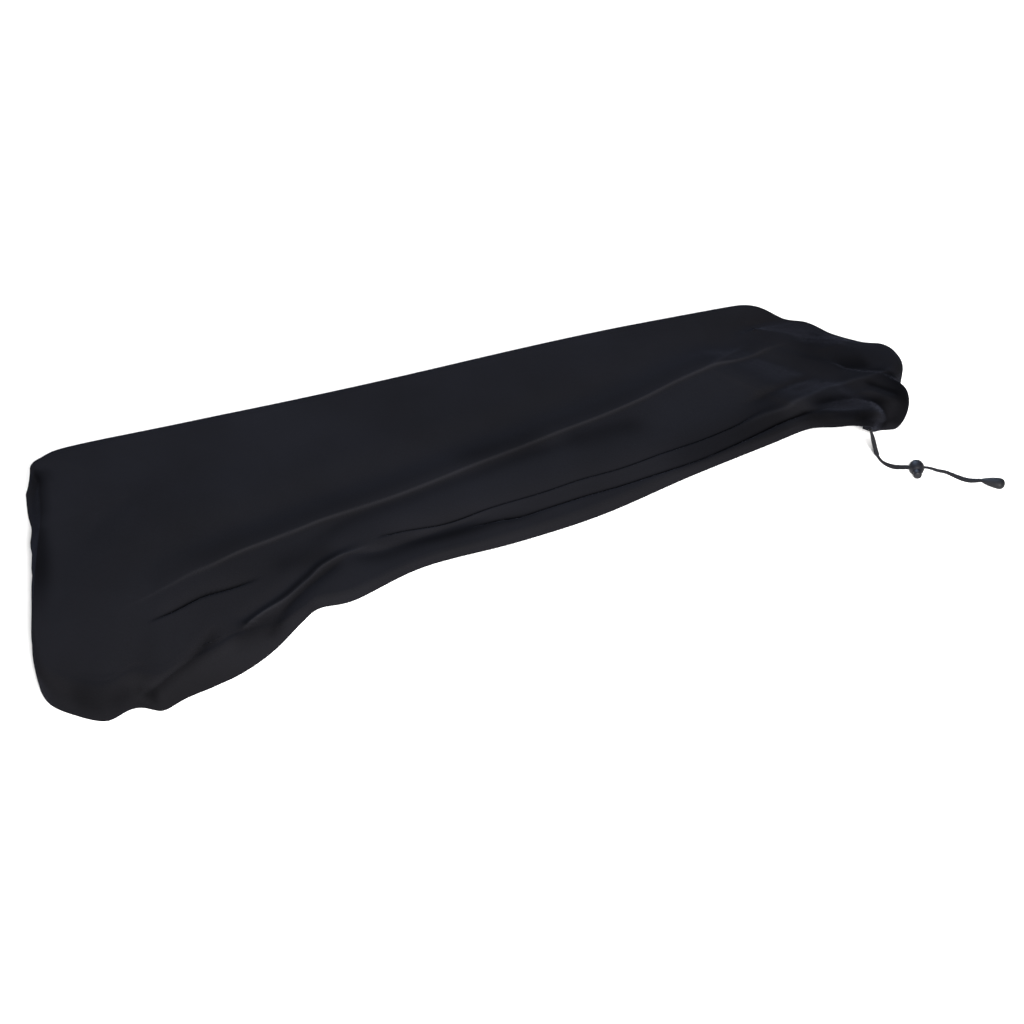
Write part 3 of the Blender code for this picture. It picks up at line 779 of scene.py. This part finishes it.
def halfSections(s, at, spine, plan):
    # points of one half of the cover: columns by rows from the middle line to the tuck
    edge = curveThrough(outline, at, True)
    x, y, crest, rim, radius = edge.T
    roll, band, ridge, lift = foldRows(at).T
    inward = spine[:, :2] - edge[:, :2]
    depth = np.hypot(*inward.T)
    inward /= depth[:, None]
    tangent = curveThrough(outline, at + 0.02, True) - curveThrough(outline, at - 0.02, True)
    tangent = tangent[:, :2]
    tangent /= np.linalg.norm(tangent, axis=1)[:, None]
    square = inward + np.stack([-tangent[:, 1], tangent[:, 0]], axis=1)
    square /= np.linalg.norm(square, axis=1)[:, None]
    ridge = np.minimum(ridge, depth * 0.72)
    band = np.minimum(band, ridge * 0.62)
    roll = np.minimum(roll, band * 0.8)
    radius = np.minimum(np.minimum(radius, roll * 0.72), crest - rim - s["hemCorner"] - 4)
    edgeAt = np.array(s["leftEdge"], float)
    crisp = np.interp(y, edgeAt[:, 0], edgeAt[:, 2]) * (x < s["leftEdgeFrom"])
    radius = radius + crisp * (np.interp(y, edgeAt[:, 0], edgeAt[:, 1]) - radius)
    drop = spine[:, 2] - crest
    swell = (s["swell"] * np.maximum(0, drop - s["swellFrom"])
             * np.clip((s["swellRight"] - x) / s["swellBlend"], 0, 1))
    anchors = {"depth": depth, "ridge": ridge, "band": band, "roll": roll, "radius": radius}

    def topAt(d):
        t = (d - radius) / (depth - radius)
        height = crest + drop * t + swell * 4 * t * (1 - t)
        hump = softHump(d - ridge, (depth - ridge) * 0.5, (ridge - band) * 0.3)
        height += s["liftShare"] * lift * hump
        return height

    stops = []
    for name, other, shareOf in plan["top"]:
        stops.append(anchors[name] + (anchors[other] - anchors[name]) * shareOf)
    columns = []
    for (start, end), count in zip(zip(stops, stops[1:]), plan["topSteps"]):
        for n in range(count):
            d = start + (end - start) * n / count
            columns.append((d, topAt(d), inward))
    base = topAt(radius)
    edgeRound, lean = s["leftEdgeRound"], math.radians(s["leftEdgeLean"])
    bend = math.pi / 2 - lean
    for n in range(plan["arcSteps"]):
        t = n / plan["arcSteps"]
        turn = math.pi / 2 * (1 - t)
        softly = (radius * (1 - math.cos(turn)),
                  crest - radius * (1 - math.sin(turn)) + (base - crest) * (1 - t) ** 2)
        crisply = (radius - edgeRound * np.sin(bend * t), base - edgeRound * (1 - np.cos(bend * t)))
        columns.append((softly[0] + crisp * (crisply[0] - softly[0]),
                        softly[1] + crisp * (crisply[1] - softly[1]), inward))
    around = np.arctan2(y, x * 0.36) * 330
    wave = np.sin(around * 2 * math.pi / s["gatherLength"]) + 0.5 * np.sin(around / 12.7 + 1.1)
    gather = (s["gatherDepth"] * wave * np.clip((s["gatherBelow"] - rim) / 20, 0, 1)
              * np.clip((y - s["gatherFront"]) / 60, 0, 1))
    waist, foot = crest - radius, rim + s["hemCorner"]
    under = s["under"] * np.maximum(0, radius - s["underFrom"])
    cornerIn = radius - edgeRound * np.sin(bend)
    cornerDown = base - edgeRound * (1 - np.cos(bend))
    for n in range(plan["wallSteps"]):
        t = n / plan["wallSteps"]
        soft = t * t * (3 - 2 * t)
        softly = under * 0.75 * t**2 - gather * soft
        height = cornerDown + (foot - cornerDown) * t
        crisply = np.maximum(softly, cornerIn - (cornerDown - height) * np.tan(lean))
        columns.append((softly + crisp * (crisply - softly),
                        waist + (foot - waist) * t + crisp * (height - waist - (foot - waist) * t),
                        inward))
    for n in range(plan["hemSteps"]):
        t = n / plan["hemSteps"]
        turn = math.pi / 2 * t
        columns.append((under - under * 0.25 * (1 - t) - gather
                        + s["hemCorner"] * (1 - math.cos(turn)),
                        foot - s["hemCorner"] * math.sin(turn), square))
    for n in range(plan["tuckSteps"] + 1):
        t = n / plan["tuckSteps"]
        columns.append((under - gather + s["hemCorner"] + (s["tuck"] - s["hemCorner"]) * t,
                        rim + 1.0 * t, square))
    return np.stack([np.stack([x + way[:, 0] * d, y + way[:, 1] * d, z], axis=1)
                     for d, z, way in columns], axis=1)


# where the rows of a section run, from the middle line to the tuck
frontRows = {
    "top": (("depth", "ridge", 0.0), ("depth", "ridge", 0.8), ("ridge", "band", 0.0),
            ("band", "roll", 0.0), ("roll", "radius", 0.0), ("roll", "radius", 0.4),
            ("radius", "roll", 0.0)),
    "topSteps": (28, 18, 42, 18, 12, 6), "arcSteps": 8, "wallSteps": 10, "hemSteps": 4,
    "tuckSteps": 3,
}
rearRows = {
    "top": (("depth", "ridge", 0.0), ("ridge", "band", 0.0), ("radius", "roll", 0.0)),
    "topSteps": (10, 6), "arcSteps": 6, "wallSteps": 8, "hemSteps": 3, "tuckSteps": 2,
}


def lineOnCloth(bare, camera, s, relief):
    # the relief itself moves its line in the picture, so the bare cloth is read a little off it
    rise = -sum(depth * float(softHump(-offset, behind, before, power))
                for offset, depth, behind, before, power in relief.get("shapes", ()))
    shift = rise * (s["crestShift"] if rise > 0 else s["troughShift"])
    right, upward, forward = cameraAxes(camera)
    zoom = camera["lens"] / camera["sensor"] * camera["pixels"]
    line = []
    for across, below in relief["seen"]:
        x, y = across - camera["pixels"] / 2, below + shift - camera["pixels"] / 2
        way = forward + (right * x - upward * y) / zoom
        spot = bare.ray_cast(Vector(camera["place"]), way.normalized())[0]
        if spot is not None:
            line.append(np.array(spot) / mm)
    return evenPoints(line, s["lineStep"])


def reliefPush(s, points, normals, line, relief):
    # how far each point moves along its normal and is drawn to the line, and its painted shading
    run = runAlong(line)
    steps = np.diff(run)
    low, high = line.min(0) - s["lineReach"], line.max(0) + s["lineReach"]
    near = np.nonzero(((points > low) & (points < high)).all(axis=1))[0]
    p, n = points[near], normals[near]
    best = np.full(len(near), 1e9)
    side, share = np.zeros(len(near)), np.zeros(len(near))
    away = np.zeros((len(near), 3))
    for k, (a, b) in enumerate(zip(line[:-1], line[1:])):
        t = np.clip((p - a) @ (b - a) / steps[k] ** 2, 0, 1)
        off = p - a - t[:, None] * (b - a)
        lift = np.einsum("ij,ij->i", off, n)
        off = off - lift[:, None] * n
        gap = np.linalg.norm(off, axis=1) + 3 * np.maximum(0, np.abs(lift) - s["sameSheet"])
        turn = np.einsum("ij,ij->i", np.cross(np.broadcast_to(b - a, off.shape), off), n)
        nearer = gap < best
        best = np.where(nearer, gap, best)
        side = np.where(nearer, np.sign(turn), side)
        share = np.where(nearer, (run[k] + t * steps[k]) / run[-1], share)
        away = np.where(nearer[:, None], off, away)
    gap = best * np.where(side == 0, 1, side)
    fade = np.clip(np.minimum(share / relief["fade"][0], (1 - share) / relief["fade"][1]), 0, 1)
    fade = fade * fade * (3 - 2 * fade)
    push = np.zeros(len(near))
    for offset, depth, behind, before, power in relief.get("shapes", ()):
        push -= depth * softHump(gap - offset, behind, before, power)
    # painted shade and painted highlights: the colour is darkened or lightened along the line
    paintedShade = np.zeros(len(near))
    for offset, amount, behind, before, *power in relief.get("paintedShades", ()):
        paintedShade += amount * softHump(gap - offset, behind, before, *power)
    pull = np.zeros(len(near))
    if "pull" in relief:
        pull = s["pullShare"] * np.exp(-(gap / relief["pull"]) ** 2)
    return near, push * fade, -away * (pull * fade)[:, None], paintedShade * fade


def meshPoints(sheet):
    sheet.normal_update()
    return (np.array([point.co for point in sheet.verts]) / mm,
            np.array([point.normal for point in sheet.verts]))


def buildCover(s):
    spine, back, front = coverStations(s)
    rear = halfSections(s, back, spine, rearRows)
    fore = halfSections(s, front, spine, frontRows)
    # the finer rows of the front draw together at the two ends, where the halves meet
    few = halfSections(s, front, spine, rearRows)
    run, fewRun = [runAlong(half[0]) for half in (fore, few)]
    join = np.abs(run[:, None] - fewRun[None, :]).argmin(axis=1)
    fromEnd = np.minimum(np.arange(len(spine)), len(spine) - 1 - np.arange(len(spine)))
    drawn = np.clip(1 - fromEnd / s["seamColumns"], 0, 1)[:, None, None]
    fore = fore + drawn * (few[:, join] - fore)
    place = np.concatenate([rear[:, ::-1], fore[:, 1:]], axis=1)
    columns, rows = place.shape[0] - 1, place.shape[1] - 1
    middle = rear.shape[1] - 1
    # the cloth's own measure, for the weave
    acrossRun = np.cumsum(np.linalg.norm(np.diff(place, axis=1), axis=2), axis=1)
    acrossRun = np.concatenate([np.zeros((columns + 1, 1)), acrossRun], axis=1)
    acrossRun -= acrossRun[:, middle][:, None]
    alongRun = runAlong(fore[:, s["measuredRow"]])
    sheet, flat = gridSheet(columns, rows)
    column = np.rint(flat[:, 0] * columns).astype(int)
    row = np.rint(flat[:, 1] * rows).astype(int)
    spot = sheet.verts.layers.float_vector.new("clothPlace")
    rowOf = sheet.verts.layers.int.new("rowOf")
    columnOf = sheet.verts.layers.int.new("columnOf")
    for point, i, j in zip(sheet.verts, column, row):
        point.co = place[i, j] * mm
        point[rowOf] = int(j)
        point[columnOf] = int(i)
        point[spot] = (alongRun[i] * mm, acrossRun[i, j] * mm, 0)
    ends = [point for point, i in zip(sheet.verts, column) if i in (0, columns)]
    loose = [point for point, j in zip(sheet.verts, row)
             if middle - rearRows["topSteps"][0] + 1 < j < middle + frontRows["topSteps"][0] - 2]
    bmesh.ops.remove_doubles(sheet, verts=ends, dist=2e-5)
    loose = [point for point in loose if point.is_valid]
    before = [point.co.copy() for point in loose]
    for _ in range(s["topPasses"]):
        bmesh.ops.smooth_vert(sheet, verts=loose, factor=0.5, use_axis_x=True, use_axis_y=True,
                              use_axis_z=True)
    # the evening out fades toward its own border, so that no line is left there
    for point, old in zip(loose, before):
        j = point[rowOf]
        behind = (j - middle + rearRows["topSteps"][0]) / 5
        inside = min(behind, (frontRows["topSteps"][0] - j + middle) / 16, 1)
        point.co = old.lerp(point.co, inside * inside * (3 - 2 * inside))
    # the seams at the two ends, and the fans of columns next to them, are evened out as well
    firstRow, lastRow = middle - s["seamRearRows"], middle + s["seamFrontRows"]
    seam = [point for point in sheet.verts if firstRow < point[rowOf] < lastRow
            and not s["seamReach"] < point[columnOf] < columns - s["seamReach"]]
    before = [point.co.copy() for point in seam]
    for _ in range(s["seamPasses"]):
        bmesh.ops.smooth_vert(sheet, verts=seam, factor=0.5, use_axis_x=True, use_axis_y=True,
                              use_axis_z=True)
    for point, old in zip(seam, before):
        i, j = point[columnOf], point[rowOf]
        inside = min((s["seamReach"] - min(i, columns - i)) / 12, (lastRow - j) / 16,
                     (j - firstRow) / 5, 1)
        point.co = old.lerp(point.co, inside * inside * (3 - 2 * inside))
    points, normals = meshPoints(sheet)
    if normals[np.argmax(points[:, 2])][2] < 0:
        bmesh.ops.reverse_faces(sheet, faces=sheet.faces)
        normals = -normals
    # draw the rows to the sharp lines, then push the relief in
    bare = BVHTree.FromBMesh(sheet)
    lines = [lineOnCloth(bare, cameraSet, s, relief) for relief in reliefs]
    shift = np.zeros_like(points)
    for line, relief in zip(lines, reliefs):
        near, _, drawn, _ = reliefPush(s, points, normals, line, relief)
        shift[near] += drawn
    points = points + shift
    # painted shade and painted highlights from every line, gathered along with the relief
    push, paintedShade = np.zeros(len(points)), np.ones(len(points))
    for line, relief in zip(lines, reliefs):
        near, pushed, _, paintedShading = reliefPush(s, points, normals, line, relief)
        push[near] += pushed
        paintedShade[near] *= 1 + paintedShading
    points = points + normals * push[:, None]
    points[:, 2] = np.maximum(points[:, 2], s["lowest"])
    # the painted shading is kept halved on each point, for the cloth's colour
    shadeOf = sheet.verts.layers.float.new("paintedFoldShading")
    for point, where, share in zip(sheet.verts, points, paintedShade):
        point.co = where * mm
        point[shadeOf] = share / 2
    mesh = bpy.data.meshes.new("coverDraped")
    sheet.to_mesh(mesh)
    sheet.free()
    uv = mesh.uv_layers.new(name="cloth")
    spots = np.zeros(len(mesh.vertices) * 3, np.float32)
    mesh.attributes["clothPlace"].data.foreach_get("vector", spots)
    corner = np.zeros(len(mesh.loops), np.int32)
    mesh.loops.foreach_get("vertex_index", corner)
    uv.data.foreach_set("uv", spots.reshape(-1, 3)[corner][:, :2].ravel())
    cover = addPiece("coverDraped", mesh, stretchKnit)
    wall = cover.modifiers.new("clothThickness", "SOLIDIFY")
    wall.thickness = s["thickness"]
    wall.offset = -1.0
    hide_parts("cover_cloth")
    return cover


cover = buildCover(coverSizes)
print("cover made:", len(cover.data.vertices), "points")


def addFloor():
    shape = bmesh.new()
    bmesh.ops.create_grid(shape, x_segments=1, y_segments=1, size=6)
    bmesh.ops.translate(shape, vec=(0, 0, floorHeight), verts=shape.verts)
    mesh = bpy.data.meshes.new("floor")
    shape.to_mesh(mesh)
    shape.free()
    floor = bpy.data.objects.new("floor", mesh)
    bpy.context.scene.collection.objects.link(floor)
    material, _, shader = startMaterial("paleFloor", (0.9, 0.9, 0.9), 0.9)
    shader.inputs["Base Color"].default_value = (0.9, 0.9, 0.9, 1)
    mesh.materials.append(material)
    return floor


# each light reaches the floor, the pieces or both
studio = {
    "world": 0.12,
    "lights": (
        {"name": "frontTop", "place": (-0.2, -2.6, 1.75), "size": 0.8, "power": 345,
         "colour": (1.0, 0.99, 0.98), "reaches": None},
        {"name": "rearSoft", "place": (0.3, 2.1, 1.9), "size": 1.6, "power": 150,
         "colour": (0.55, 0.72, 1.0), "reaches": "pieces"},
        {"name": "floorTop", "place": (0, 0.1, 3.2), "size": 3.0, "power": 110,
         "colour": (1, 1, 1), "reaches": "floor"},
    ),
}


def addLights(s, floor, pieces):
    world = bpy.data.worlds.new("studioWorld")
    bpy.context.scene.world = world
    world.use_nodes = True
    world.node_tree.nodes["Background"].inputs[0].default_value = (1, 1, 1, 1)
    world.node_tree.nodes["Background"].inputs[1].default_value = s["world"]
    reached = {}
    for name, members in (("floor", [floor]), ("pieces", pieces)):
        reached[name] = bpy.data.collections.new(name + "Lit")
        for member in members:
            reached[name].objects.link(member)
    for light in s["lights"]:
        lamp = bpy.data.lights.new(light["name"], "AREA")
        lamp.size = light["size"]
        lamp.energy = light["power"]
        lamp.color = light["colour"]
        holder = bpy.data.objects.new(light["name"], lamp)
        holder.location = light["place"]
        holder.rotation_euler = (-Vector(light["place"])).to_track_quat("-Z", "Y").to_euler()
        bpy.context.scene.collection.objects.link(holder)
        if light["reaches"]:
            holder.light_linking.receiver_collection = reached[light["reaches"]]


addLights(studio, addFloor(), [cover, cord, cordLock, cordEnd])
bpy.context.scene.view_settings.view_transform = "Standard"
print("floor and lights set")
